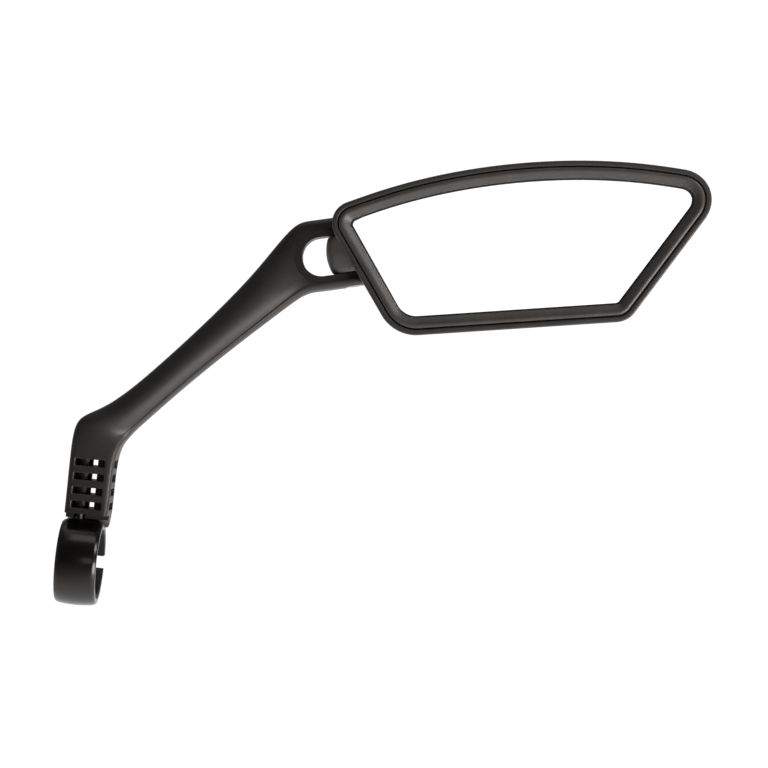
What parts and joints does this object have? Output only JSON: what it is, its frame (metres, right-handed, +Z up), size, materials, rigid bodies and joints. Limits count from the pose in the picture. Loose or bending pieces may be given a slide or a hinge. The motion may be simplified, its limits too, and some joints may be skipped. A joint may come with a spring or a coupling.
{
  "type": "bicycle handlebar mirror",
  "caption": "Rear-view mirror on a bent arm with a ribbed neck, clamped round a handlebar; its head swivels in a fork and tilts on a stub.",
  "frame": {"origin": "centre of the clamp ring's bore, on the handlebar's centre line, halfway along the ring", "axes": "+X outboard along the handlebar, +Y away from the rider, +Z up along the neck; the glass faces -Y"},
  "size_m": [0.2178, 0.0456, 0.1748],
  "materials": {
    "satin_plastic": "satin, finely textured",
    "gloss_plastic": "gloss",
    "rubber": "matt",
    "foam": "matt",
    "nylon": "satin",
    "steel": "satin",
    "spring_steel": "satin",
    "brass": "turned",
    "mirror": "polished"
  },
  "bodies": {
    "arm_and_clamp": {"clamp_ring": "gloss_plastic", "clamp_liner": "rubber", "clamp_bolt": "steel", "clamp_washer": "steel", "clamp_nut": "steel", "arm": "satin_plastic", "neck_bolt": "steel", "neck_insert": "brass", "hinge_screw": "steel", "hinge_head_washer": "steel", "hinge_spring_washer": "spring_steel", "hinge_nut": "steel", "hinge_washer_upper": "nylon", "hinge_washer_lower": "nylon"},
    "knuckle_joint": {"knuckle": "satin_plastic", "tilt_spring_washer": "spring_steel", "tilt_retainer_washer": "steel", "tilt_screw": "steel"},
    "head": {"back_housing": "satin_plastic", "tilt_bush": "nylon", "backing_pad": "foam", "mirror_glass": "mirror", "glass_gasket": "rubber", "bezel": "satin_plastic"}
  },
  "joints": [
    {"name": "head_swivel", "type": "hinge", "parent": "arm_and_clamp", "child": "knuckle_joint", "pos_m": [0.0862, 0, 0.1185], "axis": [-0.2334, 0, 0.9724], "range_deg": [-25, 45]},
    {"name": "head_tilt", "type": "hinge", "parent": "knuckle_joint", "child": "head", "pos_m": [0.08602, -0.0025, 0.11923], "axis": [0.9724, 0, 0.2334], "range_deg": [-18, 18]}
  ]
}
